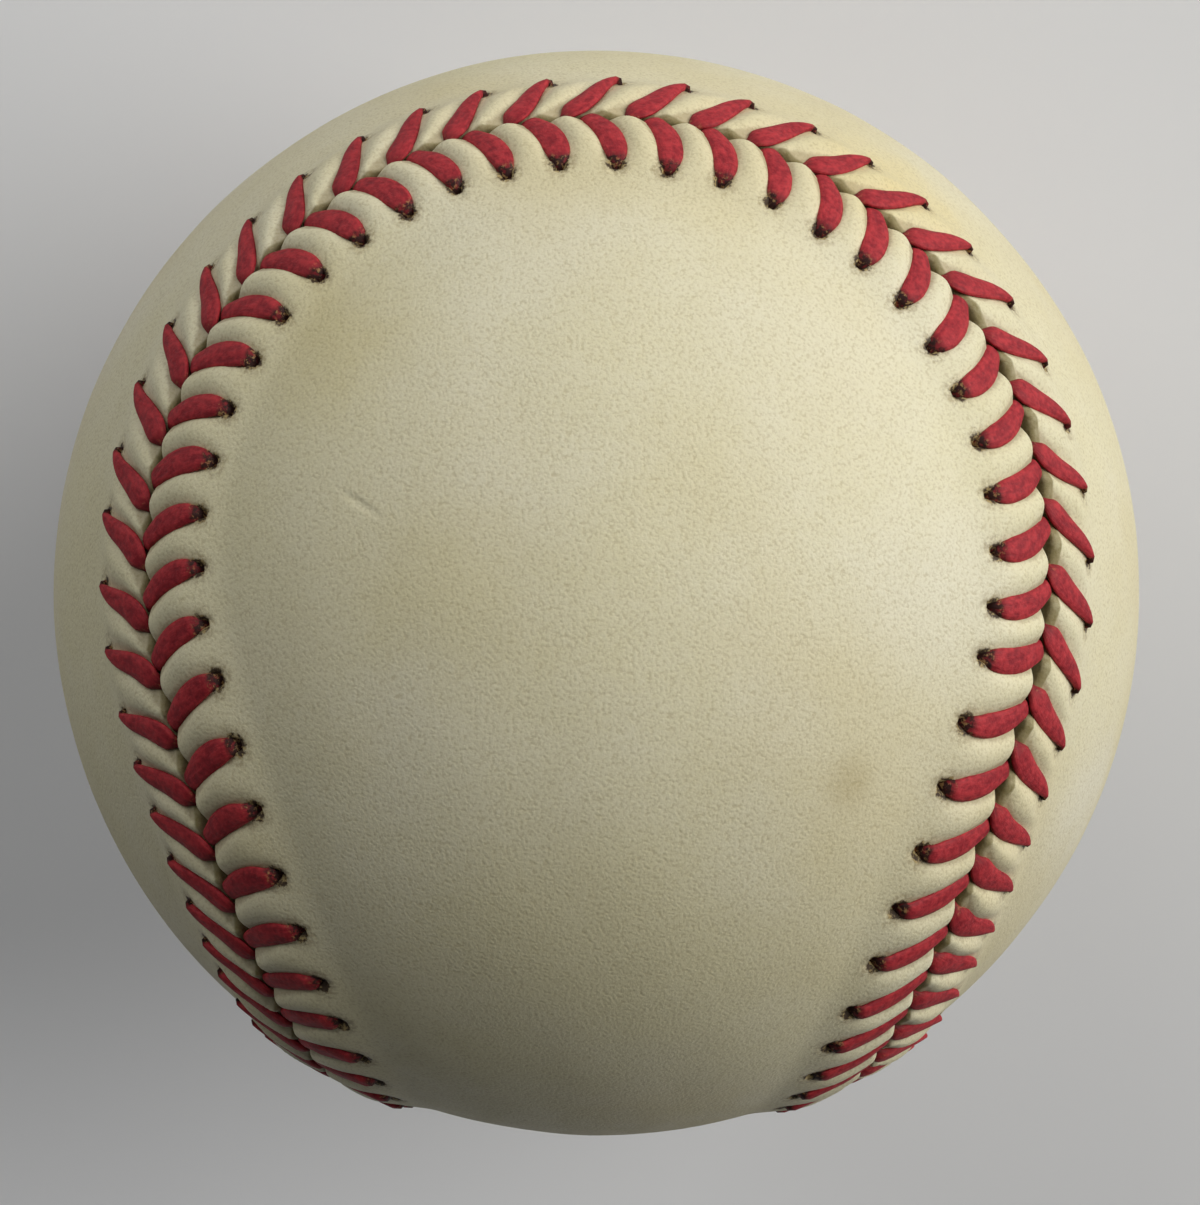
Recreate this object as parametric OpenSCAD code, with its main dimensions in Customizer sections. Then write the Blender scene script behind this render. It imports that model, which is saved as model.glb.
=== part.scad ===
/* [Pill] */
// Diameter of the cork and rubber core ball
core_d = 20.64; // [16:0.02:24]
// Wall of the two black rubber half shells round the core
inner_rubber_t = 3.97; // [3:0.01:5]
// Thickness of the washer that joins the two half shells
gasket_t = 0.8; // [0.4:0.1:1.6]
// Wall of the moulded red rubber layer
outer_rubber_t = 2.38; // [1.6:0.01:3.2]

/* [Windings] */
// Depth of the first winding, thick grey wool yarn
first_winding_t = 14.64; // [13:0.02:16]
// Depth of the second winding, white wool yarn
second_winding_t = 1.75; // [1.2:0.01:2.4]
// Depth of the third winding, fine grey wool yarn
third_winding_t = 2.25; // [1.6:0.01:3]
// Depth of the last winding, smooth white finishing yarn
finishing_yarn_t = 0.5; // [0.3:0.01:0.8]
// Depth of the adhesive coat under the cover
adhesive_t = 0.1; // [0.05:0.01:0.2]

/* [Cover] */
// Thickness of the leather
leather_t = 1.27; // [1.1:0.01:1.4]
// How far each lobe of a panel leans away from its waist, in degrees
lobe_tilt = 16.74; // [14:0.02:18]
// Width of the slit between the two panels
seam_slit = 0.5; // [0.4:0.02:0.7]
// Height that the leather pillows between the stitches stand proud of the ball
pillow_rise = 0.85; // [0.65:0.01:0.95]
// Radius of the round area over which a pillow rises
pillow_reach = 3.7; // [3.5:0.05:4.2]
// Distance from the slit to the middle of a pillow
pillow_distance = 2.7; // [2.4:0.05:3]

/* [Stitching] */
// Stitches along each of the four arcs of the seam
arc_stitches = 27; // [25:1:28]
// Place of the first thread hole, in stitches from the start of an arc
first_hole_share = 0.23; // [0:0.01:1]
// Distance from the slit to the middle of a thread hole
hole_distance = 5; // [4.6:0.05:5.4]
// Diameter of a thread hole
hole_d = 1.1; // [0.9:0.05:1.3]
// Distance along the seam from a hole to where its stitch enters the slit
stitch_lead = 1.65; // [1.3:0.05:1.9]
// Width of the waxed thread where it lies flat
thread_w = 1.35; // [1:0.05:1.5]
// Thickness of the waxed thread where it lies flat
thread_t = 0.5; // [0.4:0.02:0.56]
// Depth and half width of the notch that a stitch pulls into the leather edge
notch_depth = 1.2; // [1:0.05:1.4]

/* [Hidden] */

// Clearance between one layer of the ball and the next
layer_gap = 0.02;
// Clearance between the thread and what it lies on
thread_gap = 0.06;
// Half the distance between two threads that pass in one notch
thread_offset = 0.45;
// Length by which cutting shapes run past what they cut
overrun = 1;
layer_sides = 96;
pillow_sides = 48;
hole_sides = 20;

// Outer radius of each layer, from the core outwards
core_r = core_d / 2;
inner_rubber_r = core_r + layer_gap + inner_rubber_t;
outer_rubber_r = inner_rubber_r + layer_gap + outer_rubber_t;
first_winding_r = outer_rubber_r + layer_gap + first_winding_t;
second_winding_r = first_winding_r + layer_gap + second_winding_t;
third_winding_r = second_winding_r + layer_gap + third_winding_t;
finishing_yarn_r = third_winding_r + layer_gap + finishing_yarn_t;
adhesive_r = finishing_yarn_r + layer_gap + adhesive_t;
cover_in_r = adhesive_r + layer_gap;
ball_r = cover_in_r + leather_t;
cut_r = ball_r + pillow_rise + overrun;
roof_r = 2 * ball_r;

// The seam is four arcs of equal circles. Each arc turns round the middle of
// one lobe, and the arcs meet, tangent to each other, half way between lobes.
lobe_angle = acos(-pow(sin(lobe_tilt), 2)) / 2;
arc_half_turn = 90 + atan(sin(lobe_tilt));
seam_length = 8 * PI * ball_r * sin(lobe_angle) * arc_half_turn / 180;
stitches = 4 * arc_stitches;
stitch_pitch = seam_length / stitches;
lead_share = stitch_lead / stitch_pitch;

// Turns a distance along the leather into an angle at the ball's centre
function ball_angle(distance) = distance / ball_r * 180 / PI;

// A pillow is a part of a sphere that cuts the ball in a circle of its reach.
// Its underside is the same sphere less the leather, and holds the thread.
pillow_top_r = ball_r + pillow_rise;
pillow_centre_r = (pow(pillow_top_r, 2) - pow(ball_r, 2))
    / (2 * (pillow_top_r - ball_r * cos(ball_angle(pillow_reach))));
pillow_r = pillow_top_r - pillow_centre_r;
pillow_place = first_hole_share + lead_share * (1 - pillow_distance / hole_distance) + 0.5;

// Outer radius of the leather at a place counted from a hole of its own side
function leather_top_r(along, across) =
    let (
        nearest = min([for (step = [-1, 0, 1])
            norm([(along - pillow_place + first_hole_share - step) * stitch_pitch,
                  across - pillow_distance])]),
        angle = ball_angle(nearest),
        inside = pow(pillow_r, 2) - pow(pillow_centre_r * sin(angle), 2)
    )
    inside <= 0 ? ball_r : max(ball_r, pillow_centre_r * cos(angle) + sqrt(inside));

// Middle of arc k's lobe, the direction from there to the middle of the arc,
// and the direction in which the arc turns
function lobe_sign(k) = k < 2 ? 1 : -1;
function lobe_middle(k) = k % 2 == 0
    ? [0, sin(lobe_tilt), lobe_sign(k) * cos(lobe_tilt)]
    : [-lobe_sign(k) * cos(lobe_tilt), -sin(lobe_tilt), 0];
function arc_middle(k) = k % 2 == 0
    ? [0, cos(lobe_tilt), -lobe_sign(k) * sin(lobe_tilt)]
    : [lobe_sign(k) * sin(lobe_tilt), -cos(lobe_tilt), 0];

// A place along the seam is counted in stitches. Side 1 is panel A, -1 is B.
function arc_of(place) = floor((place + stitches) / arc_stitches) % 4;
function panel_side(k) = k % 2 == 0 ? 1 : -1;
function arc_turn(place) = let (k = arc_of(place))
    ((place + stitches) / arc_stitches % 1 - 0.5) * 2 * arc_half_turn * panel_side(k);
function lobe_lean(place, across) =
    lobe_angle - panel_side(arc_of(place)) * ball_angle(across);
function seam_point(place, across, radius) =
    let (
        k = arc_of(place),
        lean = lobe_lean(place, across),
        turn = arc_turn(place),
        middle = lobe_middle(k),
        start = arc_middle(k),
        outward = cos(turn) * start + sin(turn) * cross(middle, start)
    )
    radius * (cos(lean) * middle + sin(lean) * outward);

// A stitch rises through its hole, lies over the leather to the slit, dives
// there and runs under the other panel to that side's next hole. Shares of the
// way over and the way across place its rings, up to 1 at the dive.
over_share = [0, 0.02, 0.22, 0.55, 0.86, 1, 1.3];
across_share = [1, 0.98, 0.78, 0.46, 0.19, 0.02, -0.3];
width_share = [0.5, 0.56, 0.9, 1, 0.84, 0.56, 0.66];
lies = ["under", "mouth", "over", "over", "over", "slit", "under"];
thread_lift = thread_t / 2 + thread_gap;

function ring_r(i) =
    lies[i] == "under" ? adhesive_r + thread_lift
    : lies[i] == "slit" ? ball_r - leather_t / 2
    : leather_top_r(lead_share * over_share[i], hole_distance * across_share[i])
        + (lies[i] == "mouth" ? thread_gap : thread_lift);

// Each row: place along the seam, distance across it, radius and width
function stitch_rows(number, side) =
    let (
        hole = number + first_hole_share,
        dive = hole + lead_share + side * thread_offset / stitch_pitch,
        next_hole = hole + 1
    )
    [for (i = [0:len(lies) - 1])
        let (
            share = over_share[i],
            place = share <= 1
                ? hole + share * (dive - hole)
                : dive + (share - 1) * (next_hole - dive)
        )
        [place, side * across_share[i] * hole_distance, ring_r(i), width_share[i] * thread_w]];

// Rows of one whole strand, which starts on the given side. Its two ends are
// tucked under the leather between the last stitch and the first.
function strand_rows(first_side) =
    [for (number = [0:stitches - 1])
        each stitch_rows(number, number % 2 == 0 ? first_side : -first_side)];

function unit(v) = v / norm(v);
// Small step along the seam, in stitches, which shows its direction
probe_share = 0.01;

// Four corners of the thread's flat section at row i, turned to the route
function strand_ring(rows, points, i) =
    let (
        last = len(rows) - 1,
        route = unit(points[min(i + 1, last)] - points[max(i - 1, 0)]),
        along = seam_point(rows[i][0] + probe_share, rows[i][1], rows[i][2]) - points[i],
        flat = unit(along - (along * route) * route),
        thick = cross(route, flat),
        half_w = rows[i][3] / 2,
        half_t = thread_t / 2
    )
    [points[i] + half_w * flat, points[i] + half_t * thick,
     points[i] - half_w * flat, points[i] - half_t * thick];

module thread_strand(first_side) {
    rows = strand_rows(first_side);
    points = [for (row = rows) seam_point(row[0], row[1], row[2])];
    count = len(rows);
    corners = [for (i = [0:count - 1]) each strand_ring(rows, points, i)];
    walls = [for (i = [0:count - 2], c = [0:3])
        let (a = 4 * i + c, b = 4 * i + (c + 1) % 4)
        each [[a, b + 4, b], [a, a + 4, b + 4]]];
    last = 4 * (count - 1);
    ends = [[0, 1, 2], [0, 2, 3], [last, last + 2, last + 1], [last, last + 3, last + 2]];
    polyhedron(corners, concat(walls, ends));
}

module layer(outer_r, inner_r) {
    difference() {
        sphere(outer_r, $fn = layer_sides);
        sphere(inner_r, $fn = layer_sides);
    }
}

// Turns a shape round the middle of the upper lobe of panel A
module on_top_lobe() {
    rotate([-lobe_tilt, 0, 0]) rotate([0, 0, 90]) children();
}

// Half turn that brings panel A on to panel B
module swap_panels() {
    rotate(180, [-1, 0, 1]) children();
}

module on_lobe(k) {
    if (k % 2 == 0) rotate([0, 90 * k, 0]) on_top_lobe() children();
    else rotate([0, 90 * (k - 1), 0]) swap_panels() on_top_lobe() children();
}

// Stands a shape on the seam, with its Z axis pointing out of the ball
module on_seam(place, across) {
    on_lobe(arc_of(place))
        rotate([0, 0, arc_turn(place)])
            rotate([0, lobe_lean(place, across), 0])
                children();
}

// Caps of the pillow spheres, each cut off a little below where it meets the
// ball's shell of the given radius, so that only neighbours touch each other
module pillows(hole_share, radius, shell_r) {
    meeting_z = (pow(shell_r, 2) + pow(pillow_centre_r, 2) - pow(radius, 2)) / (2 * pillow_centre_r);
    for (number = [0:stitches - 1])
        on_seam(number + hole_share, pillow_distance)
            intersection() {
                translate([0, 0, pillow_centre_r]) sphere(radius, $fn = pillow_sides);
                translate([0, 0, meeting_z - pillow_rise / 2 + radius]) cube(2 * radius, center = true);
            }
}

// The space over panel A, from the ball's centre outwards. Its walls follow
// the seam, half a slit inside it, and turn in where each stitch dives. Its
// roof fans out over each lobe and crosses the waist in strips.
module panel_space(dive_share) {
    notch_share = notch_depth / stitch_pitch;
    rim = [for (i = [0:stitches - 1], turn = [-1:1])
        seam_point(i + dive_share + turn * notch_share, turn == 0 ? notch_depth : seam_slit / 2, roof_r)];
    arc = 3 * arc_stitches;
    count = len(rim);
    points = concat(rim, [[0, 0, 0], roof_r * lobe_middle(0), roof_r * lobe_middle(2)]);
    walls = [for (i = [0:count - 1]) [count, i, (i + 1) % count]];
    lobes = [for (k = [0, 2], i = [0:arc - 1])
        [count + 1 + k / 2, k * arc + i + 1, k * arc + i]];
    waist = [for (i = [0:arc - 1])
        let (a = arc + i, b = (count - i) % count, c = count - i - 1)
        each [[a, b, a + 1], [a + 1, b, c]]];
    flanks = [[count + 1, 0, arc], [count + 2, 2 * arc, 3 * arc]];
    polyhedron(points, concat(walls, lobes, waist, flanks));
}

// The holes, pillows and notches lie at these places, in stitches along the seam
module cover_panel(hole_share, pillow_share, dive_share) {
    intersection() {
        difference() {
            union() {
                sphere(ball_r, $fn = layer_sides);
                pillows(pillow_share, pillow_r, ball_r);
            }
            sphere(cover_in_r, $fn = layer_sides);
            pillows(pillow_share, pillow_r - leather_t, cover_in_r);
        }
        difference() {
            panel_space(dive_share);
            for (number = [0:stitches - 1])
                on_seam(number + hole_share, hole_distance)
                    translate([0, 0, cover_in_r - overrun])
                        cylinder(h = cut_r - cover_in_r + overrun, d = hole_d, $fn = hole_sides);
        }
    }
}

module cork_core() {
    color("#a9794e") sphere(core_r, $fn = layer_sides);
}

module inner_rubber_half() {
    intersection() {
        layer(inner_rubber_r, core_r + layer_gap);
        translate([0, 0, cut_r + gasket_t / 2 + layer_gap]) cube(2 * cut_r, center = true);
    }
}

module inner_rubber_upper() {
    color("#1f1f20") inner_rubber_half();
}

module inner_rubber_lower() {
    color("#1f1f20") rotate([0, 180, 0]) inner_rubber_half();
}

module rubber_gasket() {
    color("#9c2f28")
        rotate_extrude($fn = layer_sides)
            translate([core_r + layer_gap, -gasket_t / 2])
                square([inner_rubber_t - layer_gap, gasket_t]);
}

module outer_rubber_shell() {
    color("#a83a2e") layer(outer_rubber_r, inner_rubber_r + layer_gap);
}

module first_wool_winding() {
    color("#8f8f8c") layer(first_winding_r, outer_rubber_r + layer_gap);
}

module second_wool_winding() {
    color("#e6e3d8") layer(second_winding_r, first_winding_r + layer_gap);
}

module third_wool_winding() {
    color("#9b9a96") layer(third_winding_r, second_winding_r + layer_gap);
}

module finishing_yarn() {
    color("#efede4") layer(finishing_yarn_r, third_winding_r + layer_gap);
}

module adhesive_coat() {
    color("#d9cda8") layer(adhesive_r, finishing_yarn_r + layer_gap);
}

module cover_panel_a() {
    color("#dad5bb") cover_panel(first_hole_share, pillow_place, first_hole_share + lead_share);
}

module cover_panel_b() {
    color("#dcd8c3") swap_panels() cover_panel(-first_hole_share, -pillow_place, -first_hole_share - lead_share);
}

module thread_strand_1() {
    color("#b03a3c") thread_strand(1);
}

module thread_strand_2() {
    color("#a63234") thread_strand(-1);
}

cork_core();
inner_rubber_upper();
inner_rubber_lower();
rubber_gasket();
outer_rubber_shell();
first_wool_winding();
second_wool_winding();
third_wool_winding();
finishing_yarn();
adhesive_coat();
cover_panel_a();
cover_panel_b();
thread_strand_1();
thread_strand_2();
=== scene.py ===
"""A league baseball: two sewn leather panels and their waxed thread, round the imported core.

Lengths are in metres and angles in radians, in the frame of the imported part.
"""

import logging
import math
from dataclasses import dataclass
from enum import Enum

import bmesh
import bpy
import numpy as np
from mathutils import Euler, Matrix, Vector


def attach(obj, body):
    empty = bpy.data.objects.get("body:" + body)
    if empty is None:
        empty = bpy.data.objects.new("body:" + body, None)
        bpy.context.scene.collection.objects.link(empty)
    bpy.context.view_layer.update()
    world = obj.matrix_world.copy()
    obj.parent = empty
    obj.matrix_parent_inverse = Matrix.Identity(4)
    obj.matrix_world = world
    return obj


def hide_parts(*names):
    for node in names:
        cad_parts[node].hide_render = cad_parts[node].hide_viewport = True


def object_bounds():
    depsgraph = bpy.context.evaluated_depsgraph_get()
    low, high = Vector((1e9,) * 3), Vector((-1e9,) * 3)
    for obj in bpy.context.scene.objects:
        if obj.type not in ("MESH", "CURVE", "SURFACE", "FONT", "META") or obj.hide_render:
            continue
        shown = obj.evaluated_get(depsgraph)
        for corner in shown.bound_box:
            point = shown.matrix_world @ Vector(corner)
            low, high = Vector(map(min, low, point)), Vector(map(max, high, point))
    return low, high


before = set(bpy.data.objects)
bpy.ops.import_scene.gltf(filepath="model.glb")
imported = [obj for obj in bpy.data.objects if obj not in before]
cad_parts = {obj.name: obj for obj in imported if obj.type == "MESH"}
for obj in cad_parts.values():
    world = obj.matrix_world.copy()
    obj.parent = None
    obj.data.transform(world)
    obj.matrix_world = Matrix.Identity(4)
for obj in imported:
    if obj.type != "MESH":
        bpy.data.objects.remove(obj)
CAD_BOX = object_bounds()
MM = 0.001
BODY = "root"
SEED = 27
TINY = 1e-12
CAMERA_AWAY = 5.518

# Waves that the wound yarn leaves in the leather: waves round the ball, count and height.
YARN_WAVES = ((9.0, 14, 0.035 * MM), (24.0, 20, 0.012 * MM), (60.0, 24, 0.004 * MM))

Array = np.ndarray
Material = bpy.types.Material
Node = bpy.types.Node
NodeTree = bpy.types.NodeTree
Socket = bpy.types.NodeSocket
Vertex = bmesh.types.BMVert

logging.basicConfig(level=logging.INFO, format="%(message)s")
log = logging.getLogger("baseball")


class Side(Enum):
    """The two sides of the seam."""

    PANEL_A = 1
    PANEL_B = -1


def smooth_step(value: Array) -> Array:
    """Returns 0 below 0, 1 above 1 and a smooth rise between them."""
    held = np.clip(value, 0.0, 1.0)
    return held * held * (3.0 - 2.0 * held)


def unit(vectors: Array) -> Array:
    """Returns the vectors at length one."""
    return vectors / np.linalg.norm(vectors, axis=-1, keepdims=True)


@dataclass(frozen=True)
class Seam:
    """The figure-eight seam: four arcs of equal circles, each round one lobe's middle.

    A place along the seam is counted in stitches. A distance across it is
    positive on panel A and negative on panel B.
    """

    ball_r: float
    lobe_tilt: float = math.radians(16.74)
    arc_stitches: int = 27
    hole_place: float = 0.23

    @property
    def stitches(self) -> int:
        """Stitches round the whole seam."""
        return 4 * self.arc_stitches

    @property
    def lobe_angle(self) -> float:
        """Angle at the ball's centre between a lobe's middle and its edge."""
        return math.acos(-math.sin(self.lobe_tilt) ** 2) / 2

    @property
    def half_turn(self) -> float:
        """Half the angle through which one arc turns round its lobe."""
        return math.pi / 2 + math.atan(math.sin(self.lobe_tilt))

    @property
    def pitch(self) -> float:
        """Length of seam that one stitch takes."""
        arc = 2 * self.half_turn * self.ball_r * math.sin(self.lobe_angle)
        return arc / self.arc_stitches

    def axes(self) -> tuple[Array, Array, Array]:
        """Returns, for each arc, its lobe's middle and two directions square to it."""
        s, c = math.sin(self.lobe_tilt), math.cos(self.lobe_tilt)
        middle = np.array([[0, s, c], [-c, -s, 0], [0, s, -c], [c, -s, 0]])
        start = np.array([[0, c, -s], [s, -c, 0], [0, c, s], [-s, -c, 0]])
        return middle, start, np.cross(middle, start)

    def point(self, place: Array, across: Array, radius: Array) -> Array:
        """Finds points on or near the seam.

        Args:
            place: Places along the seam, in stitches.
            across: Signed distances across it.
            radius: Distances from the ball's centre.

        Returns:
            One point for each place.
        """
        middle, start, square = self.axes()
        place, across, radius = np.broadcast_arrays(place, across, radius)
        arcs = np.mod(place, self.stitches) / self.arc_stitches
        k = np.floor(arcs).astype(int) % 4
        side = np.where(k % 2 == 0, 1.0, -1.0)
        turn = (arcs % 1.0 - 0.5) * 2 * self.half_turn * side
        lean = (self.lobe_angle - side * across / self.ball_r)[..., None]
        outward = np.cos(turn)[..., None] * start[k] + np.sin(turn)[..., None] * square[k]
        return radius[..., None] * (np.cos(lean) * middle[k] + np.sin(lean) * outward)

    def nearest(self, directions: Array) -> tuple[Array, Array]:
        """Finds the nearest part of the seam.

        Args:
            directions: Unit vectors from the ball's centre.

        Returns:
            The place along the seam and the signed distance across it.
        """
        middle, start, square = self.axes()
        best = np.full(len(directions), np.inf)
        place = np.zeros(len(directions))
        across = np.zeros(len(directions))
        for k, side in enumerate((1, -1, 1, -1)):
            lean = np.arccos(np.clip(directions @ middle[k], -1, 1))
            turn = np.arctan2(directions @ square[k], directions @ start[k])
            distance = side * (self.lobe_angle - lean) * self.ball_r
            nearer = (np.abs(turn) <= self.half_turn) & (np.abs(distance) < best)
            best[nearer] = np.abs(distance[nearer])
            across[nearer] = distance[nearer]
            share = turn[nearer] * side / (2 * self.half_turn) + 0.5
            place[nearer] = (k + share) * self.arc_stitches
        return place, across


@dataclass(frozen=True)
class Arm:
    """The shape of the arms on one side of the seam.

    An arm leans along the seam by a share of its tail on its way to the slit,
    and hooks round to run along the slit for the rest. Ease holds back its
    lean near the hole, bow holds it away from the slit, close draws its end
    into line with the slit, and past is how far the end goes over the slit.
    The thread climbs out of its hole, sinks by drop on the way and dives at
    its end. Reaches are shares of the arm's length.
    """

    tail: float
    lean: float
    ease: float
    hook: float
    bow: float
    close: float
    past: float
    hole_depth: float
    hole_reach: float
    drop: float
    dive_depth: float
    soil_and_shade_reach: float
    width_shares: tuple[tuple[float, float], ...]


ARMS = {
    Side.PANEL_A: Arm(
        tail=2.0 * MM, lean=1.0, ease=2.0, hook=1.0, bow=1.0, close=1.0, past=0.35 * MM,
        hole_depth=1.0 * MM, hole_reach=0.11, drop=0.08 * MM, dive_depth=0.45 * MM, soil_and_shade_reach=0.17,
        width_shares=(
            (0, 0.56), (0.06, 0.66), (0.16, 0.82), (0.3, 0.96), (0.48, 1.0),
            (0.64, 0.94), (0.76, 0.84), (0.86, 0.76), (0.94, 0.7), (1, 0.55),
        ),
    ),
    Side.PANEL_B: Arm(
        tail=3.5 * MM, lean=0.64, ease=0.9, hook=7.0, bow=1.6, close=1.12, past=0.0,
        hole_depth=0.7 * MM, hole_reach=0.05, drop=-0.08 * MM, dive_depth=0.55 * MM, soil_and_shade_reach=0.13,
        width_shares=(
            (0, 0.06), (0.06, 0.16), (0.14, 0.34), (0.25, 0.52), (0.4, 0.7), (0.55, 0.82),
            (0.7, 0.92), (0.82, 1.0), (0.89, 0.98), (0.93, 0.76), (0.965, 0.42), (1, 0.05),
        ),
    ),
}


@dataclass(frozen=True)
class Stitches:
    """The two arms of each V stitch, sewn by hand and so never quite alike."""

    seam: Seam
    hole_distance: float = 5.0 * MM
    slip: float = 0.13 * MM
    tail_spread: float = 0.07
    lean_spread: float = 0.1

    def wander(self, kind: int) -> Array:
        """Returns a chance value from -1 to 1 for each stitch and side, of one kind."""
        chance = np.random.default_rng(SEED + kind)
        return chance.uniform(-1, 1, (self.seam.stitches, 2))

    def arm(self, number: Array, side: int, share: Array) -> Array:
        """Finds the plan of an arm, from its hole to its tail in the slit.

        Args:
            number: Stitch numbers.
            side: 1 on panel A, -1 on panel B.
            share: Share of the way, 0 at the hole and 1 at the tail.

        Returns:
            Distance along the seam from the hole's place, and distance from
            the slit, in the last axis.
        """
        index = np.mod(number, self.seam.stitches)
        column = (side + 1) // 2
        slip_along = self.slip * self.wander(1)[index, column]
        slip_across = self.slip * self.wander(2)[index, column]
        plan = ARMS[Side(side)]
        tail = plan.tail * (1 + self.tail_spread * self.wander(3)[index, column])
        lean = plan.lean + self.lean_spread * self.wander(4)[index, column]
        way = lean * share**plan.ease + (1 - lean) * share**plan.hook
        along = slip_along + (tail - slip_along) * way
        reach = self.hole_distance + slip_across + plan.past
        across = reach * (1 - share**plan.bow) ** plan.close - plan.past
        return np.stack([along, across], axis=-1)


@dataclass(frozen=True)
class Relief:
    """Heights of the leather above the plain ball, beside the seam.

    Slack lists where the slit stands open: the stitch in the middle, how many
    stitches it takes each way, and what it adds to half the slit's width.
    """

    seam: Seam
    stitches: Stitches
    rise: float = 0.88 * MM
    foot: float = 7.4 * MM
    crest: float = 2.6 * MM
    inner_dip: float = 0.16
    groove: float = 0.6 * MM
    groove_reach: float = 1.04 * MM
    groove_end: float = 6.0 * MM
    groove_power: float = 2.8
    pit: float = 1.0 * MM
    pit_reach: float = 0.56 * MM
    path_steps: int = 26
    slit: float = 0.13 * MM
    dive_slit: float = 0.05 * MM
    dive_along: float = 2.3 * MM
    dive_reach: float = 0.95 * MM
    slack: tuple[tuple[float, float, float], ...] = ((2.0, 7.0, 0.2 * MM), (31.0, 6.0, 0.06 * MM))

    def ridge(self, across: Array) -> Array:
        """Height of the welt that the sewing raises, at a distance from the slit."""
        outer = smooth_step((self.foot - across) / (self.foot - self.crest))
        inner = 1 - self.inner_dip * np.clip(1 - across / self.crest, 0, 1) ** 2
        return self.rise * np.where(across > self.crest, outer, inner)

    def from_arms(self, place: Array, across: Array, side: int) -> tuple[Array, Array]:
        """Measures how far points lie from the nearest arm and from the nearest hole.

        Args:
            place: Places along the seam.
            across: Distances from the slit, all positive.
            side: 1 on panel A, -1 on panel B.

        Returns:
            The distance to the nearest arm and to the nearest hole.
        """
        nearest_arm = np.full(place.shape, np.inf)
        nearest_hole = np.full(place.shape, np.inf)
        base = np.floor(place - self.seam.hole_place).astype(int)
        share = np.linspace(0, 1, self.path_steps)
        for step in (-1, 0, 1):
            number = base + step
            along = (place - self.seam.hole_place - number) * self.seam.pitch
            route = self.stitches.arm(number[:, None], side, share[None, :])
            here = np.stack([along, across], axis=-1)[:, None, :]
            start, leg = route[:, :-1], np.diff(route, axis=1)
            reach = ((here - start) * leg).sum(-1) / np.maximum((leg * leg).sum(-1), TINY)
            foot = start + np.clip(reach, 0, 1)[..., None] * leg
            arm = np.linalg.norm(here - foot, axis=-1).min(axis=1)
            hole = np.linalg.norm(here[:, 0] - route[:, 0], axis=-1)
            nearest_arm = np.minimum(nearest_arm, arm)
            nearest_hole = np.minimum(nearest_hole, hole)
        return nearest_arm, nearest_hole

    def height(self, place: Array, across: Array, side: int) -> Array:
        """Returns the height of the leather's face without its holes."""
        arm, _ = self.from_arms(place, across, side)
        fade = smooth_step((self.groove_end - across) / (self.groove_end - self.crest))
        pressed = self.groove * fade * np.exp(-((arm / self.groove_reach) ** self.groove_power))
        return self.ridge(across) - pressed

    def slit_half(self, place: Array) -> Array:
        """Half the slit's width, wider where the stitches dive."""
        along = np.mod(place - self.seam.hole_place, 1.0) * self.seam.pitch
        off = along - self.dive_along
        half = self.slit + self.dive_slit * np.exp(-((off / self.dive_reach) ** 2))
        half_round = self.seam.stitches / 2
        for middle, reach, slack in self.slack:
            away = np.mod(place - middle + half_round, self.seam.stitches) - half_round
            half = half + slack * np.exp(-((away / reach) ** 2))
        return half


def undulation(directions: Array) -> Array:
    """Returns the slight unevenness of stretched leather over wound yarn, as a height."""
    chance = np.random.default_rng(SEED)
    total = np.zeros(len(directions))
    for waves, count, height in YARN_WAVES:
        turns = unit(chance.normal(size=(count, 3))) * waves * chance.uniform(0.7, 1.3, (count, 1))
        phase = chance.uniform(0, 2 * math.pi, count)
        total += height * np.sin(directions @ turns.T + phase).sum(axis=1) / math.sqrt(count / 2)
    return total


def deselect_all() -> None:
    """Leaves edit mode and deselects everything."""
    if bpy.context.object is not None and bpy.context.object.mode != "OBJECT":
        bpy.ops.object.mode_set(mode="OBJECT")
    bpy.ops.object.select_all(action="DESELECT")


def read_points(mesh: bpy.types.Mesh) -> Array:
    """Returns a mesh's points as rows of three."""
    points = np.empty(len(mesh.vertices) * 3)
    mesh.vertices.foreach_get("co", points)
    return points.reshape(-1, 3)


def write_points(mesh: bpy.types.Mesh, points: Array) -> None:
    """Moves a mesh's points."""
    mesh.vertices.foreach_set("co", points.astype(np.float32).ravel())
    mesh.update()


def write_values(mesh: bpy.types.Mesh, values: dict[str, Array]) -> None:
    """Stores values at a mesh's points, by name."""
    for name, value in values.items():
        held = mesh.attributes.new(name, "FLOAT", "POINT")
        held.data.foreach_set("value", value.astype(np.float32))


def select_only(*pieces: bpy.types.Object) -> None:
    """Selects the given pieces alone and makes the last of them active."""
    deselect_all()
    for piece in pieces:
        piece.select_set(True)
    bpy.context.view_layer.objects.active = pieces[-1]


def cover_with(mesh: bpy.types.Mesh, finish: Material) -> None:
    """Gives a mesh one material in place of any other."""
    mesh.materials.clear()
    mesh.materials.append(finish)


def edge_loop(mesh: bmesh.types.BMesh, start: bmesh.types.BMEdge) -> list[Vertex]:
    """Walks the open edge of a mesh, round to where it starts."""
    first, here = start.verts
    loop, came = [first, here], start
    while True:
        came = next(e for e in here.link_edges if e.is_boundary and e is not came)
        here = came.other_vert(here)
        if here is first:
            return loop
        loop.append(here)


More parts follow.
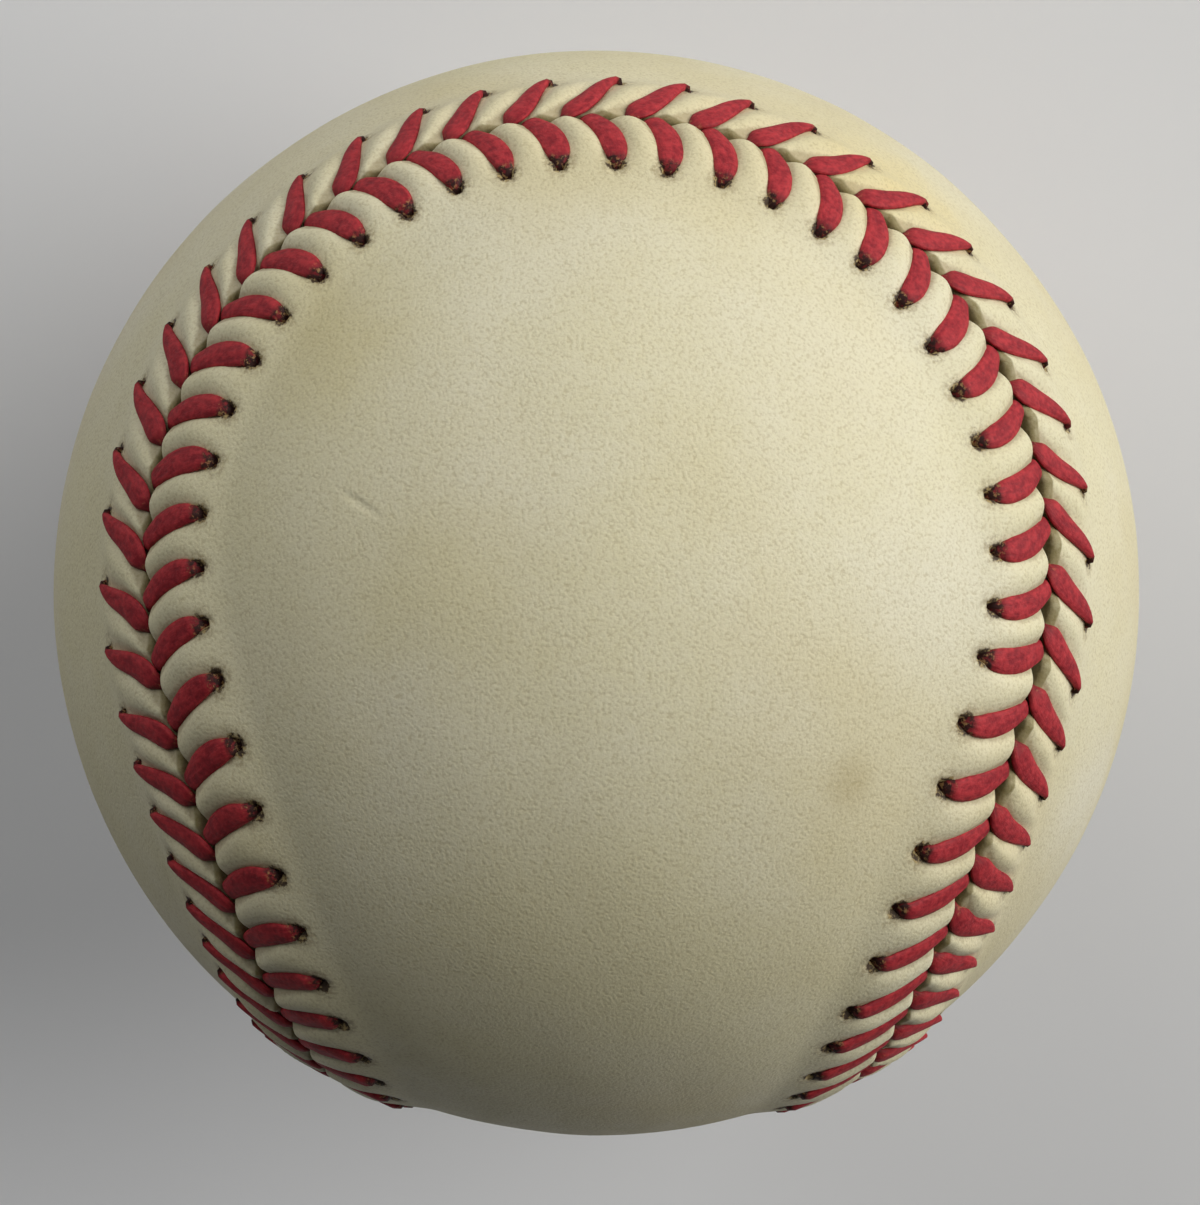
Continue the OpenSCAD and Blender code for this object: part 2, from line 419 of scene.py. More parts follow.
def zip_loops(mesh: bmesh.types.BMesh, one: list[Vertex], two: list[Vertex]) -> None:
    """Closes the strip between two open edges with triangles.

    Args:
        mesh: The mesh that holds both loops.
        one: The first loop.
        two: The second loop, which may have another count and direction.
    """
    points = np.array([v.co for v in two])
    first = int(np.argmin(np.linalg.norm(points - np.array(one[0].co), axis=1)))
    two = two[first:] + two[:first]
    ahead = one[len(one) // 20].co - one[0].co
    if (two[len(two) // 20].co - two[0].co).dot(ahead) < 0:
        two = [two[0], *reversed(two[1:])]
    i = j = 0
    while i < len(one) or j < len(two):
        a, b = one[i % len(one)], two[j % len(two)]
        next_a, next_b = one[(i + 1) % len(one)], two[(j + 1) % len(two)]
        step_a = (next_a.co - b.co).length if i < len(one) else math.inf
        step_b = (next_b.co - a.co).length if j < len(two) else math.inf
        if step_a <= step_b:
            mesh.faces.new((a, b, next_a))
            i += 1
        else:
            mesh.faces.new((a, b, next_b))
            j += 1


class Tree:
    """A node tree with short calls that add, set and link nodes."""

    def __init__(self, tree: NodeTree) -> None:
        """Takes the tree to build in."""
        self.tree = tree

    def put(self, value: object, socket: Socket) -> None:
        """Links a socket to an input, or sets the input to a plain value."""
        if isinstance(value, Socket):
            self.tree.links.new(value, socket)
        else:
            socket.default_value = value

    def add(self, kind: str, inputs: dict | None = None, **settings: object) -> Node:
        """Adds a node.

        Args:
            kind: The node's type.
            inputs: Values or sockets for its inputs, by name or number.
            settings: Values of the node's own properties.

        Returns:
            The node.
        """
        node = self.tree.nodes.new(kind)
        for name, value in settings.items():
            setattr(node, name, value)
        for name, value in (inputs or {}).items():
            self.put(value, node.inputs[name])
        return node

    def noise(self, where: Socket, scale: float, detail: float = 3.0, rough: float = 0.55) -> Socket:
        """Adds a noise pattern and returns its value."""
        inputs = {"Vector": where, "Scale": scale, "Detail": detail, "Roughness": rough}
        return self.add("ShaderNodeTexNoise", inputs).outputs["Fac"]

    def span(
        self, value: Socket, low: float, high: float, to_low: float = 0.0, to_high: float = 1.0
    ) -> Socket:
        """Maps a value's range smoothly to another range."""
        inputs = {
            "Value": value, "From Min": low, "From Max": high, "To Min": to_low, "To Max": to_high,
        }
        return self.add("ShaderNodeMapRange", inputs, interpolation_type="SMOOTHSTEP").outputs["Result"]

    def math(self, operation: str, a: object, b: object) -> Socket:
        """Works out one value from two."""
        return self.add("ShaderNodeMath", {0: a, 1: b}, operation=operation).outputs[0]

    def multiply_add(self, value: Socket, weight: object, extra: object) -> Socket:
        """Returns a value times its weight, plus something more."""
        inputs = {0: value, 1: weight, 2: extra}
        return self.add("ShaderNodeMath", inputs, operation="MULTIPLY_ADD").outputs[0]

    def weighted(self, *parts: tuple[Socket, float]) -> Socket:
        """Adds up values, each times its weight."""
        total = 0.0
        for value, weight in parts:
            total = self.multiply_add(value, weight, total)
        return total

    def mix(self, share: Socket, a: object, b: object) -> Socket:
        """Mixes two colours."""
        return self.add("ShaderNodeMix", {0: share, 6: a, 7: b}, data_type="RGBA").outputs[2]

    def coords(self) -> Socket:
        """Adds the object's own coordinates."""
        return self.add("ShaderNodeTexCoord").outputs["Object"]

    def attribute(self, name: str) -> Socket:
        """Adds a value that the mesh holds."""
        return self.add("ShaderNodeAttribute", attribute_name=name).outputs["Fac"]


def linear(red: int, green: int, blue: int) -> tuple[float, float, float, float]:
    """Turns a screen colour of 0 to 255 into the shader's linear colour."""
    def one(value: float) -> float:
        """Converts one channel."""
        share = value / 255
        return share / 12.92 if share <= 0.04045 else ((share + 0.055) / 1.055) ** 2.4
    return (one(red), one(green), one(blue), 1.0)


def new_group(
    name: str, inputs: dict[str, tuple[str, object]], outputs: dict[str, str]
) -> tuple[Tree, Node, Node]:
    """Makes an empty shader node group.

    Args:
        name: The group's name.
        inputs: The kind of socket and its first value, by name.
        outputs: The kind of socket, by name.

    Returns:
        The group's tree, its input node and its output node.
    """
    group = bpy.data.node_groups.new(name, "ShaderNodeTree")
    for socket, (kind, value) in inputs.items():
        made = group.interface.new_socket(socket, in_out="INPUT", socket_type=kind)
        if value is not None:
            made.default_value = value
    for socket, kind in outputs.items():
        group.interface.new_socket(socket, in_out="OUTPUT", socket_type=kind)
    tree = Tree(group)
    return tree, tree.add("NodeGroupInput"), tree.add("NodeGroupOutput")


@dataclass(frozen=True)
class SharedEffects:
    """Shader node groups that more than one finish uses."""

    clouds: NodeTree
    wound_yarn: NodeTree

    @staticmethod
    def build() -> "SharedEffects":
        """Builds each group once."""
        return SharedEffects(SharedEffects.make_clouds(), SharedEffects.make_wound_yarn())

    @staticmethod
    def make_clouds() -> NodeTree:
        """Builds a group that blends two colours in soft clouds with fine specks."""
        inputs = {
            "Vector": ("NodeSocketVector", None),
            "Colour One": ("NodeSocketColor", (1, 1, 1, 1)),
            "Colour Two": ("NodeSocketColor", (0, 0, 0, 1)),
            "Cloud Scale": ("NodeSocketFloat", 60.0),
            "Speck Scale": ("NodeSocketFloat", 1500.0),
            "Speck Share": ("NodeSocketFloat", 0.2),
        }
        outputs = {"Color": "NodeSocketColor", "Mask": "NodeSocketFloat"}
        tree, source, out = new_group("Clouds", inputs, outputs)
        given = source.outputs
        cloud = tree.noise(given["Vector"], given["Cloud Scale"], 4.0)
        speck = tree.noise(given["Vector"], given["Speck Scale"], 2.0, 0.7)
        off_middle = tree.math("SUBTRACT", speck, 0.5)
        share = tree.multiply_add(off_middle, given["Speck Share"], tree.span(cloud, 0.35, 0.65))
        tree.put(tree.mix(share, given["Colour One"], given["Colour Two"]), out.inputs["Color"])
        tree.put(share, out.inputs["Mask"])
        return tree.tree

    @staticmethod
    def make_wound_yarn() -> NodeTree:
        """Builds a group that lays yarn in crossing great circles over a ball."""
        inputs = {
            "Vector": ("NodeSocketVector", None),
            "Yarns": ("NodeSocketFloat", 90.0),
        }
        tree, source, out = new_group("Wound Yarn", inputs, {"Height": "NodeSocketFloat"})
        given = source.outputs
        height = None
        for turn in ((0.0, 0.0, 0.0), (0.9, 0.4, 0.2), (0.3, 1.2, 0.8), (1.4, 0.2, 1.9)):
            turned = tree.add("ShaderNodeMapping", {"Vector": given["Vector"], "Rotation": turn})
            wave = tree.add(
                "ShaderNodeTexWave",
                {"Vector": turned.outputs[0], "Scale": given["Yarns"], "Distortion": 1.5, "Detail": 2.0},
            )
            patch = tree.span(tree.noise(turned.outputs[0], 110.0, 1.0), 0.45, 0.55)
            layer = tree.math("MULTIPLY", wave.outputs["Fac"], patch)
            height = layer if height is None else tree.math("MAXIMUM", height, layer)
        tree.put(height, out.inputs["Height"])
        return tree.tree


@dataclass(frozen=True)
class Finish:
    """What every finish shares: a name and the groups that it uses."""

    name: str
    effects: SharedEffects

    def start(self, **constants: object) -> tuple[Material, Tree, Node]:
        """Makes the material and its surface shader.

        Args:
            constants: Values of the shader's own inputs, with _ for each space.

        Returns:
            The material, its tree and its surface shader.
        """
        material = bpy.data.materials.new(self.name)
        material.use_nodes = True
        material.node_tree.nodes.clear()
        tree = Tree(material.node_tree)
        named = {name.replace("_", " "): value for name, value in constants.items()}
        shader = tree.add("ShaderNodeBsdfPrincipled", named)
        tree.add("ShaderNodeOutputMaterial", {"Surface": shader.outputs[0]})
        return material, tree, shader

    def clouds(
        self, tree: Tree, where: Socket, colours: tuple, scales: tuple[float, float], share: float
    ) -> Node:
        """Places the group of soft clouds.

        Args:
            tree: The material's tree.
            where: The coordinates to use.
            colours: The two colours that it blends.
            scales: The scale of its clouds and of its specks.
            share: How strong the specks are.

        Returns:
            The group's node.
        """
        inputs = {
            "Vector": where, "Colour One": colours[0], "Colour Two": colours[1],
            "Cloud Scale": scales[0], "Speck Scale": scales[1], "Speck Share": share,
        }
        return tree.add("ShaderNodeGroup", inputs, node_tree=self.effects.clouds)

    @staticmethod
    def surface(tree: Tree, shader: Node, colour: Socket, roughness: object, layers: tuple) -> None:
        """Gives the surface shader its colour, its roughness and its layers of height.

        Args:
            tree: The material's tree.
            shader: Its surface shader.
            colour: The socket of its colour.
            roughness: A constant or a socket.
            layers: Height sockets and how high each stands, in metres.
        """
        tree.put(colour, shader.inputs["Base Color"])
        tree.put(roughness, shader.inputs["Roughness"])
        normal = None
        for height, distance in layers:
            inputs = {"Height": height, "Distance": distance, "Strength": 1.0}
            if normal is not None:
                inputs["Normal"] = normal
            normal = tree.add("ShaderNodeBump", inputs).outputs[0]
        tree.put(normal, shader.inputs["Normal"])


@dataclass(frozen=True)
class Patch:
    """A round, soft-edged patch of another colour on the leather."""

    toward: tuple[float, float, float]
    reach: float
    colour: tuple[float, float, float, float]
    strength: float


@dataclass(frozen=True)
class Crease:
    """A short dent, as long, wide and deep as its halves say, along a direction."""

    toward: tuple[float, float, float]
    along: tuple[float, float, float]
    halves: tuple[float, float, float]
    depth: float

    def turn(self) -> Euler:
        """Returns the turn that lays the first axis along the dent and the third outwards."""
        outward = unit(np.array(self.toward))
        square = unit(np.cross(outward, self.along))
        return Matrix(np.stack([np.cross(square, outward), square, outward], axis=1).tolist()).to_euler()


@dataclass(frozen=True)
class Halo:
    """A mark with a torn edge round a hole or a thread: dirt specks, painted shade inside a hole, and
    dirt with painted shadow beside a thread.

    Distance names the mesh's value to use, in millimetres. Swing is how far
    noise moves the edge, reach is where the dirt starts to fade, edge is the
    width over which it fades, and most is its strength inside.
    """

    distance: str
    swing: float
    reach: float
    edge: float
    most: float

    def mask(self, tree: Tree, ragged: Socket) -> Socket:
        """Returns the dirt's mask, its edge torn by a noise."""
        torn = tree.multiply_add(ragged, -self.swing, tree.attribute(self.distance))
        start = self.reach - self.swing / 2
        return tree.span(torn, start, start + self.edge, self.most, 0.0)


@dataclass(frozen=True)
class LeatherFinish(Finish):
    """Off-white tawed leather, yellowed with age and grimy where it is sewn, with painted shade in its
    holes, its slit and the valleys of its grain, and painted shadow beside its threads.
    """

    ball_r: float
    cream: tuple = linear(225, 217, 179)
    pale: tuple = linear(231, 225, 198)
    yellowed: tuple = linear(212, 196, 140)
    # Painted shade: the darker colour of the grain's valleys and pores.
    valley_shade: tuple = linear(178, 162, 118)
    # Olive of the bare cut edge, and painted shade down in the slit between the panels.
    raw_edge_and_slit_shade: tuple = linear(136, 124, 80)
    # Painted shade inside the thread holes.
    hole_shade: tuple = linear(56, 38, 26)
    crumb: tuple = linear(170, 148, 100)
    # Dirt specks round the holes, and dirt with painted shadow along the threads' edges.
    thread_dirt_and_shadow: tuple = linear(140, 118, 82)
    pebble_scale: float = 4900.0
    grain_scale: float = 5000.0
    torn_scale: float = 2100.0
    crumb_scale: float = 2900.0
    age_scale: float = 34.0
    ragged_scale: float = 170.0
    crease_scale: float = 900.0
    gloss_scale: float = 500.0
    swell_scale: float = 260.0
    swell_height: float = 0.018 * MM
    pebble_height: float = 0.02 * MM
    grain_height: float = 0.03 * MM
    specks: Halo = Halo("hole", swing=1.3, reach=0.8, edge=0.6, most=1.0)
    # Dirt and painted shadow along the threads' edges.
    beside: Halo = Halo("arm", swing=0.5, reach=0.86, edge=0.3, most=0.45)
    # Painted shade inside the holes.
    in_hole: Halo = Halo("hole", swing=0.9, reach=0.6, edge=0.18, most=0.95)
    patches: tuple[Patch, ...] = (
        Patch((0.403, -0.104, 0.91), 2.6 * MM, linear(186, 168, 118), 0.4),
        Patch((0.505, 0.772, 0.386), 9.0 * MM, linear(230, 211, 146), 0.6),
        Patch((-0.433, 0.581, 0.689), 8.0 * MM, linear(208, 192, 126), 0.45),
        Patch((-0.243, 0.198, 0.95), 9.0 * MM, linear(208, 196, 140), 0.35),
        Patch((0.157, 0.398, 0.904), 7.0 * MM, linear(216, 203, 152), 0.25),
        Patch((0.562, 0.175, 0.808), 9.0 * MM, linear(233, 228, 206), 0.55),
        Patch((0.855, -0.26, 0.448), 8.0 * MM, linear(234, 230, 212), 0.6),
    )
    crease: Crease = Crease(
        toward=(-0.371, 0.33, 0.868), along=(0.84, -0.42, 0.52),
        halves=(2.0 * MM, 0.42 * MM, 1.5 * MM), depth=0.06 * MM,
    )

    def base_colour(self, tree: Tree, where: Socket) -> Socket:
        """Mottles the clean leather and yellows it in patches."""
        base = self.clouds(tree, where, (self.cream, self.pale), (30.0, 2600.0), 0.6)
        age = tree.span(tree.noise(where, self.age_scale, 3.0, 0.5), 0.42, 0.7, 0.0, 0.5)
        colour = tree.mix(age, base.outputs["Color"], self.yellowed)
        ragged = tree.noise(where, self.ragged_scale, 4.0, 0.6)
        for patch in self.patches:
            middle = tuple(unit(np.array(patch.toward)) * self.ball_r)
            away = tree.add("ShaderNodeVectorMath", {0: where, 1: middle}, operation="DISTANCE")
            edge = tree.multiply_add(ragged, patch.reach, away.outputs["Value"])
            inside = tree.span(edge, patch.reach * 0.5, patch.reach * 1.5, patch.strength, 0.0)
            colour = tree.mix(inside, colour, patch.colour)
        return colour

    def dent(self, tree: Tree, where: Socket) -> Socket:
        """Returns the shape of the crease, 1 in its middle and 0 outside."""
        inputs = {
            "Vector": where,
            "Location": tuple(unit(np.array(self.crease.toward)) * self.ball_r),
            "Rotation": self.crease.turn(),
            "Scale": self.crease.halves,
        }
        placed = tree.add("ShaderNodeMapping", inputs, vector_type="TEXTURE")
        away = tree.add("ShaderNodeVectorMath", {0: placed.outputs[0]}, operation="LENGTH")
        wavy = tree.multiply_add(tree.noise(where, self.crease_scale, 2.0), 0.5, away.outputs["Value"])
        return tree.span(wavy, 0.35, 1.3, 1.0, 0.0)

    def build(self) -> Material:
        """Builds the material."""
        material, tree, shader = self.start(Specular_IOR_Level=0.3)
        where = tree.coords()
        inputs = {"Vector": where, "Scale": self.pebble_scale}
        cells = tree.add("ShaderNodeTexVoronoi", inputs, feature="SMOOTH_F1")
        pebbles = tree.math("SUBTRACT", 1.0, cells.outputs["Distance"])
        fine = tree.noise(where, self.grain_scale, 2.0, 0.6)
        torn = tree.noise(where, self.torn_scale, 4.0, 0.75)
        crumbs = tree.noise(where, self.crumb_scale, 3.0, 0.7)
        # Painted shade: the pores and the valleys between the pebbles take the darker valley colour.
        pores = tree.span(fine, 0.36, 0.56, 0.4, 0.0)
        deep = tree.math("MULTIPLY", pores, tree.span(pebbles, 0.35, 0.8, 1.0, 0.3))
        colour = tree.mix(deep, self.base_colour(tree, where), self.valley_shade)
        scattered = tree.span(crumbs, 0.4, 0.62, 0.5, 0.03)
        specks = tree.math("MULTIPLY", self.specks.mask(tree, torn), scattered)
        # Dirt specks round the holes, and dirt with painted shadow beside the threads.
        soiled_and_shaded = tree.math("MAXIMUM", specks, self.beside.mask(tree, torn))
        colour = tree.mix(soiled_and_shaded, colour, self.thread_dirt_and_shadow)
        # The cut edge's olive: partly the bare edge's own dirty colour, partly painted shade deep in the
        # slit.
        bared_edge_and_slit_shade = tree.span(tree.attribute("slit"), 0.2, 0.8)
        edge = tree.math("MULTIPLY", bared_edge_and_slit_shade, tree.span(torn, 0.3, 0.62, 1.0, 0.72))
        colour = tree.mix(edge, colour, self.raw_edge_and_slit_shade)
        # Painted shade inside the holes, flecked with pale leather crumbs.
        inside = tree.mix(tree.span(crumbs, 0.49, 0.6), self.hole_shade, self.crumb)
        colour = tree.mix(self.in_hole.mask(tree, torn), colour, inside)
        gloss = tree.span(tree.noise(where, self.gloss_scale, 3.0), 0.3, 0.7, 0.48, 0.64)
        layers = (
            (tree.noise(where, self.swell_scale, 3.0, 0.5), self.swell_height),
            (pebbles, self.pebble_height),
            (fine, self.grain_height),
            (tree.math("MULTIPLY", self.dent(tree, where), -1.0), self.crease.depth),
        )
        self.surface(tree, shader, colour, gloss, layers)
        return material


@dataclass(frozen=True)
class ThreadFinish(Finish):
    """Waxed red cotton: flat, faintly fibrous, and darker at its ends with dirt and painted shade where
    it sinks into its holes and the slit.
    """

    red: tuple = linear(134, 23, 35)
    bright: tuple = linear(188, 54, 60)
    # Painted shade where the thread sinks into its holes and the slit, with its dirt.
    sunk_shade_and_dirt: tuple = linear(52, 22, 18)
    crumb: tuple = linear(150, 116, 74)
    fuzz_scale: float = 2600.0
    crumb_scale: float = 2900.0
    ply_height: float = 0.08 * MM
    fibre_height: float = 0.06 * MM
    fuzz_height: float = 0.04 * MM

    @staticmethod
    def laid(tree: Tree, place: Socket, scale: tuple[float, float], turn: float) -> Socket:
        """Returns the thread's own coordinates, stretched and turned as its fibres lie."""
        inputs = {"Vector": place, "Scale": (*scale, 1.0), "Rotation": (0.0, 0.0, turn)}
        return tree.add("ShaderNodeMapping", inputs).outputs[0]

    def build(self) -> Material:
        """Builds the material."""
        material, tree, shader = self.start(Specular_IOR_Level=0.3)
        place = tree.add("ShaderNodeUVMap", uv_map="thread").outputs[0]
        fibres = tree.noise(self.laid(tree, place, (900.0, 3600.0), 0.05), 1.0, 3.0, 0.7)
        ply = tree.noise(self.laid(tree, place, (500.0, 1500.0), 0.35), 1.0, 2.0, 0.5)
        where = tree.coords()
        fuzz = tree.noise(where, self.fuzz_scale, 2.0, 0.6)
        share = tree.weighted((fibres, 0.35), (ply, 0.25), (fuzz, 0.4))
        colour = tree.mix(tree.span(share, 0.36, 0.64), self.red, self.bright)
        crumbs = tree.noise(where, self.crumb_scale, 3.0, 0.7)
        # Darker at the thread's ends, where it sinks into holes and slit: painted shade with dirt and
        # pale crumbs.
        soil_and_shade = tree.math("MULTIPLY", tree.attribute("grime_and_sunk_shade"), tree.span(fuzz, 0.3, 0.66, 0.5, 1.3))
        soiled_and_shaded = tree.mix(tree.span(crumbs, 0.54, 0.64), self.sunk_shade_and_dirt, self.crumb)
        colour = tree.mix(tree.span(soil_and_shade, 0.1, 0.9), colour, soiled_and_shaded)
        rough = tree.span(fibres, 0.3, 0.7, 0.58, 0.74)
        layers = ((ply, self.ply_height), (fibres, self.fibre_height), (fuzz, self.fuzz_height))
        self.surface(tree, shader, colour, rough, layers)
        return material


@dataclass(frozen=True)
class CorkFinish(Finish):
    """Cork granules bound with rubber."""

    grain_scale: float = 620.0
    grain_height: float = 0.1 * MM

    def build(self) -> Material:
        """Builds the material."""
        material, tree, shader = self.start()
        where = tree.coords()
        cells = tree.add("ShaderNodeTexVoronoi", {"Vector": where, "Scale": self.grain_scale})
        tans = (linear(176, 128, 82), linear(146, 98, 60))
        base = self.clouds(tree, where, tans, (300.0, 2400.0), 0.6)
        grains = tree.span(cells.outputs["Distance"], 0.25, 0.6)
        colour = tree.mix(grains, base.outputs["Color"], linear(92, 60, 38))
        height = tree.math("SUBTRACT", 1.0, grains)
        self.surface(tree, shader, colour, 0.8, ((height, self.grain_height),))
        return material


@dataclass(frozen=True)
class CoatFinish(Finish):
    """A moulded or brushed coat: two colours in clouds, duller where the second shows."""

    colours: tuple[tuple, tuple] = (linear(38, 38, 40), linear(66, 66, 68))
    scales: tuple[float, float] = (160.0, 2200.0)
    speck_share: float = 0.4
    gloss: tuple[float, float] = (0.55, 0.75)
    specular: float = 0.4
    rough_scale: float = 1800.0
    rough_detail: float = 2.0
    rough_height: float = 0.02 * MM

    def build(self) -> Material:
        """Builds the material."""
        material, tree, shader = self.start(Specular_IOR_Level=self.specular)
        where = tree.coords()
        base = self.clouds(tree, where, self.colours, self.scales, self.speck_share)
        rough = tree.span(base.outputs["Mask"], 0.0, 1.0, *self.gloss)
        height = tree.noise(where, self.rough_scale, self.rough_detail)
        self.surface(tree, shader, base.outputs["Color"], rough, ((height, self.rough_height),))
        return material


@dataclass(frozen=True)
class YarnFinish(Finish):
    """Yarn wound tight in crossing turns."""

    yarns: float
    colour: tuple = linear(148, 148, 144)
    shade: tuple = linear(104, 104, 101)
    yarn_height: float = 0.25 * MM

    def build(self) -> Material:
        """Builds the material."""
        material, tree, shader = self.start(Sheen_Weight=0.2)
        where = tree.coords()
        inputs = {"Vector": where, "Yarns": self.yarns}
        wound = tree.add("ShaderNodeGroup", inputs, node_tree=self.effects.wound_yarn).outputs["Height"]
        base = self.clouds(tree, where, (self.colour, self.shade), (240.0, 3000.0), 0.8)
        # Painted shade: the low parts between the wound yarns take the darker shade colour.
        colour = tree.mix(tree.span(wound, 0.1, 0.8), self.shade, base.outputs["Color"])
        self.surface(tree, shader, colour, 0.85, ((wound, self.yarn_height),))
        return material


def formed_grid(name: str, points: Array, values: dict[str, Array]) -> bpy.types.Object:
    """Adds a grid, moves its points to their places and closes it where its sides meet.

    Args:
        name: The piece's name.
        points: Places of the points, by row and column.
        values: Values that the mesh then holds at its points, by row and column.

    Returns:
        The piece.
    """
    rows, columns = points.shape[:2]
    deselect_all()
    cells = {"x_subdivisions": columns - 1, "y_subdivisions": rows - 1}
    bpy.ops.mesh.primitive_grid_add(**cells, size=1.0, calc_uvs=True)
    piece = bpy.context.object
    piece.name = piece.data.name = name
    flat = read_points(piece.data)
    column = np.rint((flat[:, 0] + 0.5) * (columns - 1)).astype(int)
    row = np.rint((flat[:, 1] + 0.5) * (rows - 1)).astype(int)
    write_points(piece.data, points[row, column])
    write_values(piece.data, {key: value[row, column] for key, value in values.items()})
    bpy.ops.object.mode_set(mode="EDIT")
    bpy.ops.mesh.select_all(action="SELECT")
    bpy.ops.mesh.remove_doubles(threshold=1e-7)
    bpy.ops.object.mode_set(mode="OBJECT")
    return piece


@dataclass(frozen=True)
class WearAndShade:
    """How the holes, the dirt, the painted shade and the cut edge look on one side of the seam.

    Hole shrink narrows the holes, the painted shade in them and the dirt round
    them, and tip shrink narrows the dirt and painted shadow at the outer tips of
    the arms. The cut edge's colour, partly painted shade in the slit, shows below
    edge top, as far from the slit's middle as edge reach plus edge spread times
    half the slit's width.
    """

    hole_shrink: float
    tip_shrink: float
    edge_top: float
    edge_reach: float
    edge_spread: float


WEAR_AND_SHADE = {
    Side.PANEL_A: WearAndShade(
        hole_shrink=0.0, tip_shrink=0.2 * MM, edge_top=0.3 * MM, edge_reach=0.8 * MM, edge_spread=1.0
    ),
    Side.PANEL_B: WearAndShade(
        hole_shrink=0.3 * MM, tip_shrink=0.85 * MM, edge_top=-0.25 * MM, edge_reach=0.1 * MM,
        edge_spread=2.9,
    ),
}


@dataclass(frozen=True)
class CoverPanel:
    """One of the two hourglass pieces of leather."""

    side: Side
    seam: Seam
    relief: Relief
    cad_node: str
    blank: tuple[float, float] = (62 * MM, 201 * MM)
    blank_area: float = 8760 * MM**2
    leather: float = 1.27 * MM
    band_reach: float = 8.0 * MM
    columns_per_stitch: int = 20
    under_steps: tuple[float, ...] = (8.0, 6.4, 4.8, 3.2, 1.8, 0.9)
    wall_shares: tuple[float, ...] = (0.0, 0.35, 0.7)
    lip_angles: tuple[float, ...] = (0, 18, 36, 54, 72, 90)
    lip_roll: float = 0.6 * MM
    lip_drop: float = 0.45 * MM
    top_rows: int = 18
    top_spread: float = 1.25
    face_levels: int = 7
    back_levels: int = 6
    face_margin: float = 0.3 * MM
    back_margin: float = 0.5 * MM
    sharp_angle: float = math.radians(55)
    far: float = 9.0
    edge_fall: float = 0.2 * MM
    edge_fade: float = 0.4 * MM
    tip_start: float = 1.6 * MM
    tip_length: float = 2.6 * MM

    def band_points(self) -> Array:
        """Works out the strip of leather that wraps round the panel's edge."""
        columns = self.seam.stitches * self.columns_per_stitch
        place = np.arange(columns + 1) / self.columns_per_stitch
        slit = self.relief.slit_half(place)
        sign = self.side.value
        rows: list[tuple[Array, Array]] = []
        back_r = self.seam.ball_r - self.leather
        for step in self.under_steps:
            across = np.full_like(place, step * MM)
            rows.append((across, back_r + self.relief.ridge(across)))
        lip = slit + self.lip_roll
        lip_r = self.seam.ball_r + self.relief.height(place, lip, sign) - self.lip_drop
        edge_r = back_r + self.relief.ridge(slit)
        for share in self.wall_shares:
            rows.append((slit, edge_r + share * (lip_r - edge_r)))
        for angle in np.radians(self.lip_angles):
            across = slit + self.lip_roll * (1 - math.cos(angle))
            rows.append((across, lip_r + self.lip_drop * math.sin(angle)))
        for share in (np.arange(1, self.top_rows + 1) / self.top_rows) ** self.top_spread:
            across = lip + share * (self.band_reach - lip)
            rows.append((across, self.seam.ball_r + self.relief.height(place, across, sign)))
        return np.stack([self.seam.point(place, sign * across, radius) for across, radius in rows])

    def sink_holes(self, points: Array) -> Array:
        """Moves the points of the outer face down into the thread holes."""
        directions = unit(points)
        place, across = self.seam.nearest(directions)
        radius = np.linalg.norm(points, axis=1)
        outer = radius > self.seam.ball_r - 0.5 * self.leather
        near = np.abs(across) < self.band_reach + MM
        chosen = outer & near
        _, hole = self.relief.from_arms(place[chosen], np.abs(across[chosen]), self.side.value)
        narrowed = hole + WEAR_AND_SHADE[self.side].hole_shrink
        depth = self.relief.pit * smooth_step(1 - narrowed / self.relief.pit_reach)
        moved = radius.copy()
        moved[chosen] -= depth
        return directions * (moved + undulation(directions))[:, None]

    def face(self, levels: int, radius: float, margin: float) -> bpy.types.Object:
        """Adds the smooth middle of one face as the part of a ball inside the strip."""
        deselect_all()
        bpy.ops.mesh.primitive_ico_sphere_add(subdivisions=levels, radius=radius)
        ball = bpy.context.object
        points = read_points(ball.data)
        _, across = self.seam.nearest(unit(points))
        outside = across * self.side.value < self.band_reach + margin
        mesh = bmesh.new()
        mesh.from_mesh(ball.data)
        mesh.verts.ensure_lookup_table()
        unwanted = [mesh.verts[i] for i in np.flatnonzero(outside)]
        while unwanted:
            bmesh.ops.delete(mesh, geom=unwanted, context="VERTS")
            unwanted = [
                v for v in mesh.verts
                if not v.link_faces or sum(e.is_boundary for e in v.link_edges) > 2
            ]
        mesh.to_mesh(ball.data)
        mesh.free()
        return ball

    def zip_edges(self, piece: bpy.types.Object) -> None:
        """Closes the gaps between the strip and the two faces."""
        mesh = bmesh.new()
        mesh.from_mesh(piece.data)
        left = {e for e in mesh.edges if e.is_boundary}
        loops = []
        while left:
            loop = edge_loop(mesh, min(left, key=lambda e: e.index))
            loops.append(loop)
            inside = set(loop)
            left = {e for e in left if e.verts[0] not in inside}
        middle_r = self.seam.ball_r - self.leather / 2
        for outer in (True, False):
            pair = [loop for loop in loops if (loop[0].co.length > middle_r) == outer]
            log.info("%s: zips %s", self.cad_node, [len(loop) for loop in pair])
            zip_loops(mesh, *sorted(pair, key=len))
        bmesh.ops.recalc_face_normals(mesh, faces=mesh.faces[:])
        mesh.to_mesh(piece.data)
        mesh.free()

